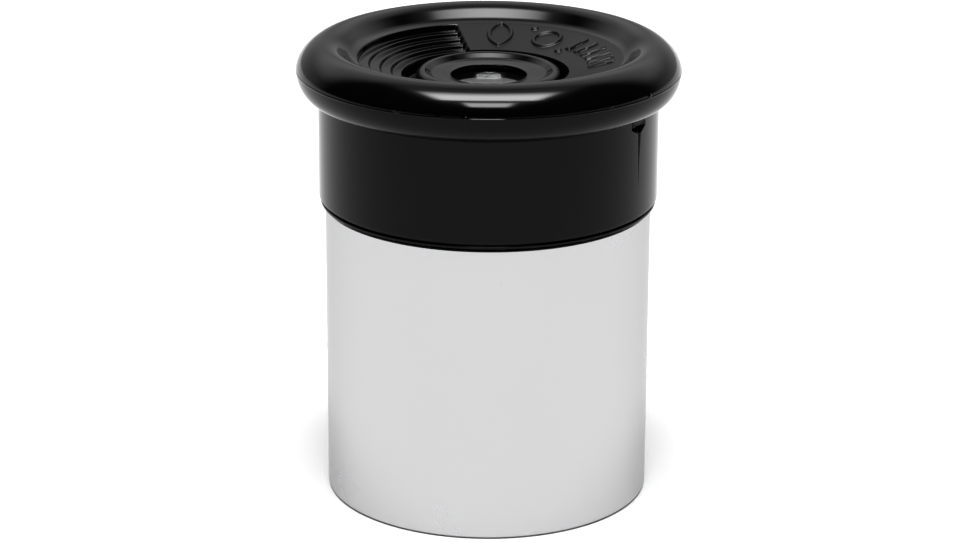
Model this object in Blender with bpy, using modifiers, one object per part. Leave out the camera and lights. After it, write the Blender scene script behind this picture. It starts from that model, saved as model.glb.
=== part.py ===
"""A 24.5 mm telescope eyepiece of the Huygens kind, as separate pieces.

Metres, +Z up. The origin is the bottom centre of the barrel and +Z is the optical axis,
towards the eye. A black moulded eye cap screws into a plain metal barrel. The cap holds the
small eye lens. The barrel holds the large field lens, the field stop and two spacers.
"""

import math

import bmesh
import bpy

MM = 0.001
SEGMENTS = 48
ARC_STEPS = 6
CLEARANCE = 0.1 * MM

# Optics: a Huygens pair with focal lengths in the ratio 3 to 1, spaced by half their sum.
EYEPIECE_FOCAL_LENGTH = 20.0 * MM
EYE_LENS_FOCAL_LENGTH = EYEPIECE_FOCAL_LENGTH / 1.5
FIELD_LENS_FOCAL_LENGTH = 3.0 * EYE_LENS_FOCAL_LENGTH
LENS_SPACING = 0.5 * (EYE_LENS_FOCAL_LENGTH + FIELD_LENS_FOCAL_LENGTH)
CROWN_GLASS_INDEX = 1.517
EYE_LENS_RADIUS = 4.0 * MM
EYE_LENS_EDGE = 0.9 * MM
EYE_LENS_TOP_Z = 31.95 * MM
FIELD_LENS_RADIUS = 10.8 * MM
FIELD_LENS_EDGE = 0.9 * MM

# Barrel: the standard small focuser tube takes a 24.5 mm barrel.
BARREL_RADIUS = 12.25 * MM
BARREL_TOP_Z = 22.48 * MM
BARREL_BORE = 11.2 * MM
BARREL_TOP_CHAMFER = 0.08 * MM
BARREL_FOOT_ROUND = 0.4 * MM
LEDGE_BORE = 10.0 * MM
LEDGE_THICKNESS = 0.8 * MM

# Screw thread between the eye cap and the barrel, right-handed.
THREAD_PITCH = 0.8 * MM
THREAD_DEPTH = 0.35 * MM
THREAD_CREST_WIDTH = 0.15 * MM
THREAD_FLANK_WIDTH = 0.2 * MM
THREAD_FLANK_CLEARANCE = 0.05 * MM
THREAD_OVERLAP = 0.15 * MM
CAP_THREAD_START_Z = 19.35 * MM
CAP_THREAD_TURNS = 3
BARREL_THREAD_TURNS = 6

# Eye cap: rolled rim, skirt, lip and threaded spigot.
RIM_CREST_RADIUS = 12.25 * MM
RIM_TOP_Z = 34.9 * MM
RIM_OUTER_WIDTH = 2.15 * MM
RIM_OUTER_DROP = 2.0 * MM
RIM_OUTER_POWER = 1.75
RIM_INNER_ROUND = 1.75 * MM
RIM_INNER_SWEEP = math.radians(38.0)
UNDERSIDE_WIDTH = 1.46 * MM
UNDERSIDE_DROP = 2.05 * MM
UNDERSIDE_POWER = 1.95
SKIRT_RADIUS = 12.73 * MM
SKIRT_BOTTOM_Z = 23.2 * MM
LIP_GROOVE_RADIUS = 12.42 * MM
LIP_RADIUS = 12.62 * MM
LIP_BOTTOM_Z = 22.7 * MM
SPIGOT_RADIUS = 11.1 * MM
SPIGOT_BORE = 9.9 * MM
SPIGOT_BOTTOM_Z = 19.0 * MM
SPIGOT_CHAMFER = 0.2 * MM
ROOF_Z = 30.6 * MM

# Bowl of the eye cap: a sloping ledge, four steps, a deep groove and the collar.
BOWL_LEDGE_OUTER_RADIUS = 10.36 * MM
BOWL_LEDGE_OUTER_Z = 33.88 * MM
BOWL_LEDGE_INNER_RADIUS = 9.79 * MM
BOWL_LEDGE_INNER_Z = 33.72 * MM
STEP_COUNT = 4
FIRST_STEP_RADIUS = 8.96 * MM
FIRST_STEP_Z = 33.235 * MM
STEP_PITCH = 0.83 * MM
STEP_DROP = 0.275 * MM
STEP_TREAD = 0.72 * MM
DEEP_GROOVE_OUTER_RADIUS = 6.4 * MM
DEEP_GROOVE_INNER_RADIUS = 5.45 * MM
DEEP_GROOVE_Z = 31.5 * MM
COLLAR_CREST_RADIUS = 4.9 * MM
COLLAR_CREST_Z = 32.78 * MM
COLLAR_ROUND = 0.5 * MM
DISH_RADIUS = 4.2 * MM
DISH_Z = 32.4 * MM
EYE_HOLE_RADIUS = 2.83 * MM
EYE_HOLE_Z = 32.34 * MM

# Plaque: a smooth raised sector that interrupts the steps.
PLAQUE_START = math.radians(-30.0)
PLAQUE_STEPS = 18
PLAQUE_OUTER_RADIUS = 10.04 * MM
PLAQUE_OUTER_Z = 33.78 * MM
PLAQUE_INNER_RADIUS = 6.45 * MM
PLAQUE_INNER_Z = 32.76 * MM
PLAQUE_ROOT_DEPTH = 0.7 * MM

# Lens cell inside the eye cap.
CELL_RADIUS = 6.2 * MM
CELL_BOTTOM_Z = 28.4 * MM
EYE_RING_RADIUS = 4.9 * MM
EYE_RING_BORE = 3.5 * MM
EYE_RING_TOP_Z = 30.6 * MM
EYE_RING_HEIGHT = 2.0 * MM

# Stack inside the barrel.
FIELD_STOP_APERTURE = 4.85 * MM
FIELD_STOP_THICKNESS = 0.5 * MM
STACK_RADIUS = 11.1 * MM
SPACER_BORE = 10.0 * MM
FIELD_RING_BORE = 9.2 * MM
FIELD_RING_HEIGHT = 2.1 * MM
FIELD_RING_SLOT_WIDTH = 1.4 * MM
FIELD_RING_SLOT_DEPTH = 0.8 * MM


def clear_scene():
    for old in list(bpy.data.objects):
        bpy.data.objects.remove(old, do_unlink=True)


def make_collection(name):
    made = bpy.data.collections.new(name)
    bpy.context.scene.collection.children.link(made)
    return made


def make_material(name, color, roughness, metallic=0.0, transmission=0.0):
    made = bpy.data.materials.new(name)
    made.use_nodes = True
    shader = made.node_tree.nodes["Principled BSDF"]
    shader.inputs["Base Color"].default_value = (*color, 1.0)
    shader.inputs["Roughness"].default_value = roughness
    shader.inputs["Metallic"].default_value = metallic
    shader.inputs["Transmission Weight"].default_value = transmission
    made.diffuse_color = (*color, 1.0)
    return made


def make_empty(name, height, collection):
    made = bpy.data.objects.new(name, None)
    made.location = (0.0, 0.0, height)
    made.empty_display_size = 5.0 * MM
    collection.objects.link(made)
    return made


def screw_profile(name, profile, collection, closed, angle=math.tau, steps=SEGMENTS, rise=0.0):
    """Turns a profile of (radius, height) points about Z. It runs down its outer side."""
    mesh = bpy.data.meshes.new(name)
    points = [(radius, 0.0, height) for radius, height in profile]
    edges = [(index, index + 1) for index in range(len(points) - 1)]
    if closed:
        edges.append((len(points) - 1, 0))
    mesh.from_pydata(points, edges, [])
    made = bpy.data.objects.new(name, mesh)
    collection.objects.link(made)
    screw = made.modifiers.new("turn", "SCREW")
    screw.axis = "Z"
    screw.angle = angle
    screw.screw_offset = rise
    screw.steps = steps
    screw.render_steps = steps
    screw.use_merge_vertices = True
    screw.merge_threshold = 0.000001
    screw.use_smooth_shade = True
    return made


def turned(name, profile, parent, material, collection, closed=True):
    """A turned piece that hangs from a parent empty. Heights are in the part's frame."""
    local = [(radius, height - parent.location.z) for radius, height in profile]
    made = screw_profile(name, local, collection, closed)
    made.parent = parent
    made.data.materials.append(material)
    return made


def swept_solid(name, profile, collection, angle, steps, rise=0.0, start=0.0):
    """A profile swept part of the way round, or along a helix, with both ends capped."""
    guide = screw_profile(name + "_guide", profile, collection, True, angle, steps, rise)
    bpy.context.view_layer.update()
    swept = bpy.data.meshes.new_from_object(guide.evaluated_get(bpy.context.evaluated_depsgraph_get()))
    bpy.data.objects.remove(guide)
    shape = bmesh.new()
    shape.from_mesh(swept)
    bmesh.ops.holes_fill(shape, edges=shape.edges, sides=len(profile))
    bmesh.ops.recalc_face_normals(shape, faces=shape.faces)
    shape.to_mesh(swept)
    shape.free()
    made = bpy.data.objects.new(name, swept)
    made.rotation_euler.z = start
    made.hide_render = True
    made.display_type = "WIRE"
    collection.objects.link(made)
    return made


def box_cutter(name, size, center, collection):
    mesh = bpy.data.meshes.new(name)
    shape = bmesh.new()
    bmesh.ops.create_cube(shape, size=1.0)
    bmesh.ops.scale(shape, vec=size, verts=shape.verts)
    shape.to_mesh(mesh)
    shape.free()
    made = bpy.data.objects.new(name, mesh)
    made.location = center
    made.hide_render = True
    made.display_type = "WIRE"
    collection.objects.link(made)
    return made


def add_boolean(piece, other, operation):
    made = piece.modifiers.new(other.name, "BOOLEAN")
    made.operation = operation
    made.solver = "EXACT"
    made.object = other


def superellipse(sweep, power):
    """Points of a rounded quarter from (0, 1) outwards, as (sideways, upwards) fractions."""
    points = []
    for step in range(ARC_STEPS + 1):
        turn = sweep * step / ARC_STEPS
        points.append((math.sin(turn) ** (2.0 / power), max(math.cos(turn), 0.0) ** (2.0 / power)))
    return points


def surface_radius(focal_length):
    """Radius of the curved face of a plano-convex lens."""
    return focal_length * (CROWN_GLASS_INDEX - 1.0)


def sag(focal_length, radius):
    """Depth of the curved face between its vertex and a given radius."""
    curve = surface_radius(focal_length)
    return curve - math.sqrt(curve * curve - radius * radius)


def lens_depth(focal_length, radius, edge):
    return edge + sag(focal_length, radius)


def lens_profile(focal_length, radius, edge, top):
    """A plano-convex lens, flat side up and curved side towards the objective."""
    vertex = top - lens_depth(focal_length, radius, edge)
    points = [(0.0, top), (radius, top)]
    for step in range(ARC_STEPS):
        at = radius * (1.0 - step / ARC_STEPS)
        points.append((at, vertex + sag(focal_length, at)))
    points.append((0.0, vertex))
    return points


def ring_profile(outer, inner, bottom, top):
    return [(outer, top), (outer, bottom), (inner, bottom), (inner, top)]


def thread_profile(base, crest, start, clearance=0.0):
    """One thread ridge: a trapezium that stands on base and narrows towards crest."""
    half_crest = 0.5 * THREAD_CREST_WIDTH + clearance
    half_base = half_crest + THREAD_FLANK_WIDTH * abs(crest - base) / THREAD_DEPTH
    return [
        (crest, start + half_crest),
        (crest, start - half_crest),
        (base, start - half_base),
        (base, start + half_base),
    ]


def field_vertex_z():
    eye_vertex = EYE_LENS_TOP_Z - lens_depth(EYE_LENS_FOCAL_LENGTH, EYE_LENS_RADIUS, EYE_LENS_EDGE)
    return eye_vertex - LENS_SPACING


def field_lens_top_z():
    return field_vertex_z() + lens_depth(FIELD_LENS_FOCAL_LENGTH, FIELD_LENS_RADIUS, FIELD_LENS_EDGE)


def field_stop_z():
    """The stop lies in the focal plane of the eye lens."""
    return field_vertex_z() + LENS_SPACING - EYE_LENS_FOCAL_LENGTH


def cap_outside():
    """The rim's crest, its rounded edge, the hollow under it, the skirt and the lip."""
    points = []
    for across, up in superellipse(math.pi / 2.0, RIM_OUTER_POWER):
        radius = RIM_CREST_RADIUS + RIM_OUTER_WIDTH * across
        points.append((radius, RIM_TOP_Z - RIM_OUTER_DROP * (1.0 - up)))
    edge_radius, edge_z = points[-1]
    for across, up in superellipse(math.pi / 2.0, UNDERSIDE_POWER)[1:]:
        points.append((edge_radius - UNDERSIDE_WIDTH * (1.0 - up), edge_z - UNDERSIDE_DROP * across))
    flange_z = points[-1][1]
    lip_height = SKIRT_BOTTOM_Z - LIP_BOTTOM_Z
    points += [
        (SKIRT_RADIUS, flange_z),
        (SKIRT_RADIUS, SKIRT_BOTTOM_Z),
        (LIP_GROOVE_RADIUS, SKIRT_BOTTOM_Z - 0.1 * lip_height),
        (LIP_GROOVE_RADIUS, SKIRT_BOTTOM_Z - 0.45 * lip_height),
        (LIP_RADIUS, SKIRT_BOTTOM_Z - 0.55 * lip_height),
        (LIP_RADIUS, LIP_BOTTOM_Z + 0.1 * lip_height),
        (LIP_GROOVE_RADIUS, LIP_BOTTOM_Z),
    ]
    return points


def cap_inside():
    """The spigot, the hollow above it and the cell that holds the eye lens."""
    pocket_radius = EYE_LENS_RADIUS + CLEARANCE
    counterbore = EYE_RING_RADIUS + CLEARANCE
    return [
        (SPIGOT_RADIUS, LIP_BOTTOM_Z),
        (SPIGOT_RADIUS, SPIGOT_BOTTOM_Z + SPIGOT_CHAMFER),
        (SPIGOT_RADIUS - SPIGOT_CHAMFER, SPIGOT_BOTTOM_Z),
        (SPIGOT_BORE, SPIGOT_BOTTOM_Z),
        (SPIGOT_BORE, ROOF_Z),
        (CELL_RADIUS, ROOF_Z),
        (CELL_RADIUS, CELL_BOTTOM_Z),
        (counterbore, CELL_BOTTOM_Z),
        (counterbore, EYE_RING_TOP_Z + CLEARANCE),
        (pocket_radius, EYE_RING_TOP_Z + CLEARANCE),
        (pocket_radius, EYE_LENS_TOP_Z + 0.5 * CLEARANCE),
        (EYE_HOLE_RADIUS, EYE_LENS_TOP_Z + 0.5 * CLEARANCE),
        (EYE_HOLE_RADIUS, EYE_HOLE_Z),
    ]


def cap_bowl():
    """From the eye hole outwards: dish, collar, deep groove, steps, ledge, wall and rim."""
    points = [(DISH_RADIUS, DISH_Z)]
    for turn in (-36, -12, 20, 60, 90):
        angle = math.radians(turn)
        radius = COLLAR_CREST_RADIUS + COLLAR_ROUND * math.sin(angle)
        points.append((radius, COLLAR_CREST_Z - COLLAR_ROUND * (1.0 - math.cos(angle))))
    points.append((DEEP_GROOVE_INNER_RADIUS, DEEP_GROOVE_Z))
    points.append((DEEP_GROOVE_OUTER_RADIUS, DEEP_GROOVE_Z))
    for step in reversed(range(STEP_COUNT)):
        radius = FIRST_STEP_RADIUS - step * STEP_PITCH
        height = FIRST_STEP_Z - step * STEP_DROP
        points.append((radius, height))
        points.append((radius + STEP_TREAD, height))
    points.append((BOWL_LEDGE_INNER_RADIUS, BOWL_LEDGE_INNER_Z))
    points.append((BOWL_LEDGE_OUTER_RADIUS, BOWL_LEDGE_OUTER_Z))
    for step in reversed(range(1, ARC_STEPS + 1)):
        angle = RIM_INNER_SWEEP * step / ARC_STEPS
        radius = RIM_CREST_RADIUS - RIM_INNER_ROUND * math.sin(angle)
        points.append((radius, RIM_TOP_Z - RIM_INNER_ROUND * (1.0 - math.cos(angle))))
    return points


def plaque_sector(cutters):
    profile = [
        (PLAQUE_OUTER_RADIUS, PLAQUE_OUTER_Z),
        (PLAQUE_OUTER_RADIUS, PLAQUE_OUTER_Z - PLAQUE_ROOT_DEPTH),
        (PLAQUE_INNER_RADIUS, PLAQUE_INNER_Z - PLAQUE_ROOT_DEPTH),
        (PLAQUE_INNER_RADIUS, PLAQUE_INNER_Z),
    ]
    sweep = PLAQUE_STEPS * math.tau / SEGMENTS
    return swept_solid("plaque_sector", profile, cutters, sweep, PLAQUE_STEPS, start=PLAQUE_START)


def cap_thread(cutters):
    base = SPIGOT_RADIUS - THREAD_OVERLAP
    crest = SPIGOT_RADIUS + THREAD_DEPTH
    profile = thread_profile(base, crest, CAP_THREAD_START_Z)
    sweep = CAP_THREAD_TURNS * math.tau
    steps = CAP_THREAD_TURNS * SEGMENTS
    rise = CAP_THREAD_TURNS * THREAD_PITCH
    return swept_solid("cap_thread", profile, cutters, sweep, steps, rise)


def barrel_thread(cutters):
    """The groove that the cap's ridge runs in, open at the top of the barrel."""
    base = BARREL_BORE - THREAD_OVERLAP
    crest = BARREL_BORE + THREAD_DEPTH
    start = CAP_THREAD_START_Z - THREAD_PITCH
    profile = thread_profile(base, crest, start, THREAD_FLANK_CLEARANCE)
    sweep = BARREL_THREAD_TURNS * math.tau
    steps = BARREL_THREAD_TURNS * SEGMENTS
    rise = BARREL_THREAD_TURNS * THREAD_PITCH
    return swept_solid("barrel_thread", profile, cutters, sweep, steps, rise)


def make_eye_cap(parent, material, parts, cutters):
    profile = cap_outside() + cap_inside() + cap_bowl()
    cap = turned("eye_cap", profile, parent, material, parts)
    add_boolean(cap, cap_thread(cutters), "UNION")
    add_boolean(cap, plaque_sector(cutters), "UNION")


def make_eye_lens(parent, material, parts):
    profile = lens_profile(EYE_LENS_FOCAL_LENGTH, EYE_LENS_RADIUS, EYE_LENS_EDGE, EYE_LENS_TOP_Z)
    turned("eye_lens", profile, parent, material, parts, closed=False)


def make_eye_lens_ring(parent, material, parts):
    bottom = EYE_RING_TOP_Z - EYE_RING_HEIGHT
    profile = ring_profile(EYE_RING_RADIUS, EYE_RING_BORE, bottom, EYE_RING_TOP_Z)
    turned("eye_lens_ring", profile, parent, material, parts)


def make_barrel(parent, material, parts, cutters):
    ledge_bottom = field_lens_top_z() + CLEARANCE
    ledge_top = ledge_bottom + LEDGE_THICKNESS
    profile = [
        (BARREL_RADIUS - BARREL_TOP_CHAMFER, BARREL_TOP_Z),
        (BARREL_RADIUS, BARREL_TOP_Z - BARREL_TOP_CHAMFER),
    ]
    for across, up in reversed(superellipse(math.pi / 2.0, 2.0)):
        radius = BARREL_RADIUS - BARREL_FOOT_ROUND * (1.0 - across)
        profile.append((radius, BARREL_FOOT_ROUND * (1.0 - up)))
    profile += [
        (BARREL_BORE, 0.0),
        (BARREL_BORE, ledge_bottom),
        (LEDGE_BORE, ledge_bottom),
        (LEDGE_BORE, ledge_top),
        (BARREL_BORE, ledge_top),
        (BARREL_BORE, BARREL_TOP_Z),
    ]
    barrel = turned("barrel", profile, parent, material, parts)
    add_boolean(barrel, barrel_thread(cutters), "DIFFERENCE")


def make_barrel_stack(parent, spacer_material, stop_material, parts):
    """Lower spacer, field stop and upper spacer, held between the ledge and the spigot."""
    ledge_top = field_lens_top_z() + CLEARANCE + LEDGE_THICKNESS
    stop_bottom = field_stop_z() - 0.5 * FIELD_STOP_THICKNESS
    stop_top = stop_bottom + FIELD_STOP_THICKNESS
    lower = ring_profile(STACK_RADIUS, SPACER_BORE, ledge_top + CLEARANCE, stop_bottom - CLEARANCE)
    stop = ring_profile(STACK_RADIUS, FIELD_STOP_APERTURE, stop_bottom, stop_top)
    upper = ring_profile(STACK_RADIUS, SPACER_BORE, stop_top + CLEARANCE, SPIGOT_BOTTOM_Z - CLEARANCE)
    turned("lower_spacer", lower, parent, spacer_material, parts)
    turned("field_stop", stop, parent, stop_material, parts)
    turned("upper_spacer", upper, parent, spacer_material, parts)


def make_field_lens(parent, material, parts):
    profile = lens_profile(
        FIELD_LENS_FOCAL_LENGTH, FIELD_LENS_RADIUS, FIELD_LENS_EDGE, field_lens_top_z()
    )
    turned("field_lens", profile, parent, material, parts, closed=False)


def make_field_lens_ring(parent, material, parts, cutters):
    top = field_vertex_z() + sag(FIELD_LENS_FOCAL_LENGTH, FIELD_RING_BORE) - CLEARANCE
    bottom = top - FIELD_RING_HEIGHT
    profile = ring_profile(STACK_RADIUS, FIELD_RING_BORE, bottom, top)
    ring = turned("field_lens_ring", profile, parent, material, parts)
    size = (2.2 * STACK_RADIUS, FIELD_RING_SLOT_WIDTH, 2.0 * FIELD_RING_SLOT_DEPTH)
    slots = box_cutter("spanner_slots", size, (0.0, 0.0, bottom), cutters)
    add_boolean(ring, slots, "DIFFERENCE")


def main():
    clear_scene()
    parts = make_collection("telescope_eyepiece")
    cutters = make_collection("cutters")
    black_plastic = make_material("black_plastic", (0.012, 0.012, 0.013), 0.22)
    satin_metal = make_material("satin_metal", (0.72, 0.72, 0.73), 0.35, metallic=1.0)
    black_metal = make_material("black_metal", (0.02, 0.02, 0.02), 0.6, metallic=0.6)
    matte_black = make_material("matte_black", (0.02, 0.02, 0.022), 0.75)
    glass = make_material("lens_glass", (0.9, 0.94, 0.95), 0.02, transmission=1.0)
    barrel_frame = make_empty("barrel_frame", 0.0, parts)
    cap_frame = make_empty("cap_frame", LIP_BOTTOM_Z, parts)
    make_barrel(barrel_frame, satin_metal, parts, cutters)
    make_barrel_stack(barrel_frame, matte_black, black_metal, parts)
    make_field_lens(barrel_frame, glass, parts)
    make_field_lens_ring(barrel_frame, black_metal, parts, cutters)
    make_eye_cap(cap_frame, black_plastic, parts, cutters)
    make_eye_lens(cap_frame, glass, parts)
    make_eye_lens_ring(cap_frame, black_metal, parts)


main()
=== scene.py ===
"""The telescope eyepiece as a picture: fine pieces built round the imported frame.

Metres, +Z up, in the frame of the CAD model. Each fine piece replaces one CAD node, keeps its
dimensions and rides on its body, so the cap with its thread still screws out of the barrel.
"""

import math

import bmesh
import bpy
import numpy as np
from mathutils import Matrix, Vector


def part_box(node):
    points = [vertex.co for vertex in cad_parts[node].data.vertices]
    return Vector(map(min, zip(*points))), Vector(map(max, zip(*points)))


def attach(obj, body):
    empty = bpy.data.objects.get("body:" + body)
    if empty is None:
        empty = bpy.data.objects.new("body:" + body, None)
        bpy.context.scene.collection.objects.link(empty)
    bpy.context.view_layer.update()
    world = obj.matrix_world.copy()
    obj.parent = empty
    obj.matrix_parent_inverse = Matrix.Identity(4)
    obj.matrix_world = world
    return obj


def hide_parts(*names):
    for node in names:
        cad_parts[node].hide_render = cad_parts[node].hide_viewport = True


MM = 0.001
TAU = math.tau
QUARTER = 0.5 * math.pi
HAIR = 0.001 * MM  # lengths that differ by less count as equal
JOIN_REACH = 0.02 * HAIR  # points that are closer are joined

# Barrel
BARREL_RADIUS = 12.25 * MM
BARREL_TOP_Z = 22.48 * MM
BARREL_BORE = 11.2 * MM
BARREL_TOP_CHAMFER = 0.08 * MM
BARREL_FOOT_ROUND = 0.3 * MM
BARREL_MOUTH_CHAMFER = 0.15 * MM
LEDGE_BORE = 10.0 * MM
LEDGE_BOTTOM_Z = 7.14 * MM
LEDGE_TOP_Z = 7.94 * MM
BARREL_FIRST_ROW_Z = BARREL_TOP_Z - 0.3 * MM
BARREL_ROWS = 24
BARREL_FOOT_ROWS = 10
BARREL_COLUMNS = 300

# Screw thread, right-handed
THREAD_PITCH = 0.8 * MM
THREAD_DEPTH = 0.35 * MM
THREAD_CREST_WIDTH = 0.15 * MM
THREAD_FLANK_WIDTH = 0.2 * MM
THREAD_FLANK_CLEARANCE = 0.05 * MM
THREAD_ROW_STEP = 0.045 * MM
THREAD_RUN_OUT = math.radians(25.0)
CAP_THREAD_START_Z = 19.35 * MM
CAP_THREAD_TURNS = 3
BARREL_THREAD_TURNS = 6
PLAIN_BORE_TOP_Z = CAP_THREAD_START_Z - 1.6 * THREAD_PITCH
THREADED_BORE_BOTTOM_Z = CAP_THREAD_START_Z - 1.5 * THREAD_PITCH

# Eye cap: rim, skirt, lip and spigot. The rim's outer rows are (first turn, last turn, count), and
# those at its edge, beside the parting line, stand closer.
RIM_CREST_RADIUS = 12.25 * MM
RIM_TOP_Z = 34.9 * MM
RIM_OUTER_WIDTH = 2.15 * MM
RIM_OUTER_DROP = 2.0 * MM
RIM_OUTER_POWER = 1.75
RIM_OUTER_ROWS = (0.0, 1.4, 26)
RIM_EDGE_ROWS = (1.41, QUARTER, 14)
RIM_INNER_ROUND = 1.75 * MM
RIM_INNER_SWEEP = math.radians(38.0)
RIM_INNER_ROWS = 22
UNDERSIDE_WIDTH = 1.46 * MM
UNDERSIDE_DROP = 2.05 * MM
UNDERSIDE_POWER = 1.95
SKIRT_RADIUS = 12.73 * MM
SKIRT_BOTTOM_Z = 23.2 * MM
LIP_GROOVE_RADIUS = 12.42 * MM
LIP_RADIUS = 12.62 * MM
LIP_BOTTOM_Z = 22.7 * MM
LIP_ROUND = 0.04 * MM
SPIGOT_RADIUS = 11.1 * MM
SPIGOT_BORE = 9.9 * MM
SPIGOT_BOTTOM_Z = 19.0 * MM
SPIGOT_CHAMFER = 0.2 * MM
ROOF_Z = 30.6 * MM
ROOF_ROUND = 0.5 * MM
PARTING_Z = RIM_TOP_Z - RIM_OUTER_DROP
FLANGE_Z = PARTING_Z - UNDERSIDE_DROP
FLANGE_ROOT_ROUND = 0.1 * MM

# Flash that the mould's parting line left round the rim. It has waves, given as (number round the
# rim, phase, share of its height), and blobs, given as (azimuth, rise, reach). Shares of its reach
# say where a blob stops being full and where it ends.
FLASH_BAND = 0.8 * MM
FLASH_HEIGHT = 0.055 * MM
FLASH_HALF_WIDTH = 0.04 * MM
FLASH_MEAN_SHARE = 0.6
FLASH_WAVES = [(7.0, 1.0, 0.1), (23.0, 0.0, 0.08), (61.0, 0.0, 0.05)]
BLOB_FULL = 0.75
BLOB_END = 1.25
FLASH_BLOBS = [
    (math.radians(-116.8), 0.22 * MM, 0.24 * MM),
    (math.radians(-104.2), 0.05 * MM, 0.1 * MM),
    (math.radians(-96.5), 0.05 * MM, 0.12 * MM),
    (math.radians(-52.6), 0.2 * MM, 0.12 * MM),
    (math.radians(-36.0), 0.15 * MM, 0.14 * MM),
    (math.radians(40.0), 0.1 * MM, 0.2 * MM),
    (math.radians(150.0), 0.2 * MM, 0.25 * MM),
]

# Scar of the moulding's gate, as facets (direction, reach, steepness) round a rippled floor, and
# the weld line under it
GATE_AZIMUTH = math.radians(-30.4)
GATE_HEIGHT = FLANGE_Z - 0.62 * MM
GATE_DEPTH = 0.5 * MM
GATE_ASPECT = 1.6
GATE_FLOOR_MEAN = 0.8
GATE_FLOOR_RIPPLE = 0.3
GATE_RIPPLE_WIDTH = 0.11 * MM
GATE_RIPPLE_RISE = 0.15 * MM
GATE_FACETS = [
    (math.radians(2.0), 0.62 * MM, 0.8),
    (math.radians(38.0), 0.66 * MM, 0.55),
    (math.radians(100.0), 0.62 * MM, 3.0),
    (math.radians(178.0), 0.66 * MM, 5.0),
    (math.radians(232.0), 0.52 * MM, 4.0),
    (math.radians(312.0), 0.5 * MM, 1.2),
]
WELD_LENGTH = 6.4 * MM
WELD_DEPTH = 0.25 * MM
WELD_FOOT_HALF_WIDTH = 0.03 * MM
WELD_HEAD_HALF_WIDTH = 0.22 * MM

# Rows down the skirt: close beside the gate scar and wider below it
CLOSE_ROWS_TOP_Z = FLANGE_Z - 0.15 * MM
CLOSE_ROWS_BOTTOM_Z = GATE_HEIGHT - 3.0 * MM
CLOSE_ROW_STEP = 0.05 * MM
WIDE_ROWS_TOP_Z = GATE_HEIGHT - 3.15 * MM
WIDE_ROWS_BOTTOM_Z = SKIRT_BOTTOM_Z + 0.3 * MM
WIDE_ROW_COUNT = 30

# Columns round the cap: closest at the weld line, then at the gate scar, then over the plaque
WELD_SPAN = math.radians(0.7)
WELD_COLUMN_STEP = math.radians(0.07)
GATE_SPAN = math.radians(4.5)
GATE_COLUMN_STEP = math.radians(0.2)
PLAQUE_COLUMN_STEP = math.radians(0.36)
PLAIN_COLUMN_STEP = math.radians(0.4)

# Eye cap: bowl
BOWL_LEDGE_OUTER_RADIUS = 10.36 * MM
BOWL_LEDGE_OUTER_Z = 33.88 * MM
BOWL_LEDGE_INNER_RADIUS = 9.79 * MM
BOWL_LEDGE_INNER_Z = 33.72 * MM
WALL_FOOT_ROUND = 0.25 * MM
STEP_COUNT = 4
FIRST_STEP_RADIUS = 8.96 * MM
FIRST_STEP_Z = 33.235 * MM
STEP_PITCH = 0.83 * MM
STEP_DROP = 0.275 * MM
STEP_TREAD = 0.72 * MM
DEEP_GROOVE_OUTER_RADIUS = 6.4 * MM
DEEP_GROOVE_INNER_RADIUS = 5.45 * MM
DEEP_GROOVE_Z = 31.5 * MM
COLLAR_CREST_RADIUS = 4.9 * MM
COLLAR_CREST_Z = 32.78 * MM
COLLAR_OUTER_ROUND = 0.5 * MM
COLLAR_INNER_ROUND = 0.35 * MM
COLLAR_WALL_SLOPE = math.radians(38.5)
COLLAR_ROWS = 16
DISH_Z = 32.4 * MM
DISH_EDGE_ROUND = 0.1 * MM
EYE_HOLE_RADIUS = 2.83 * MM
EYE_HOLE_Z = 32.34 * MM
EYE_HOLE_ROUND = 0.06 * MM
BOWL_ROW_STEP = 0.045 * MM
BOWL_EDGE_BLUR = 0.03 * MM
BOWL_BLUR_SAMPLES = 5

# Plaque in the bowl, with a generic relief: a lens outline, a ring, two dots and radial bars. Its
# points carry a mark that the plastic reads. Places are (radius, azimuth).
PLAQUE_MARK = "plaque"
PLAQUE_START = math.radians(-30.0)
PLAQUE_END = math.radians(105.0)
PLAQUE_OUTER_RADIUS = 10.04 * MM
PLAQUE_OUTER_Z = 33.78 * MM
PLAQUE_INNER_RADIUS = 5.95 * MM
PLAQUE_INNER_Z = 32.62 * MM
PLAQUE_EDGE = 0.08 * MM
PLAQUE_END_BLEND = 0.35 * MM
RELIEF_HEIGHT = 0.17 * MM
RELIEF_EDGE = 0.09 * MM
BAR_COUNT = 6
BAR_START = math.radians(-4.0)
BAR_STEP = math.radians(8.2)
BAR_MIDDLE_RADIUS = 8.35 * MM
BAR_HALF_LENGTH = 0.95 * MM
BAR_HALF_WIDTH = 0.24 * MM
RING_PLACE = (8.15 * MM, math.radians(57.0))
RING_RADIUS = 1.05 * MM
OUTLINE_HALF_WIDTH = 0.14 * MM
LENS_MARK_PLACE = (8.25 * MM, math.radians(84.0))
LENS_MARK_CURVE = 1.9 * MM
LENS_MARK_OFFSET = 1.05 * MM
DOTS = [(9.4 * MM, math.radians(68.0)), (7.0 * MM, math.radians(41.5))]
DOT_RADIUS = 0.27 * MM

# Lens cell
CELL_RADIUS = 6.2 * MM
CELL_ROOT_ROUND = 0.3 * MM
CELL_BOTTOM_Z = 28.4 * MM
CELL_COUNTERBORE = 5.0 * MM
CELL_POCKET = 4.1 * MM
CELL_STEP_Z = 30.7 * MM
CELL_SEAT_Z = 32.0 * MM

# Lenses, flat side up: (radius, radius of the curved side, height of the flat side)
EYE_LENS_SIZE = (4.0 * MM, 6.893 * MM, 31.83 * MM)
FIELD_LENS_SIZE = (10.8 * MM, 20.68 * MM, 7.04 * MM)
LENS_EDGE = 0.9 * MM
LENS_BEVEL = 0.12 * MM
LENS_ROWS = 25

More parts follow.
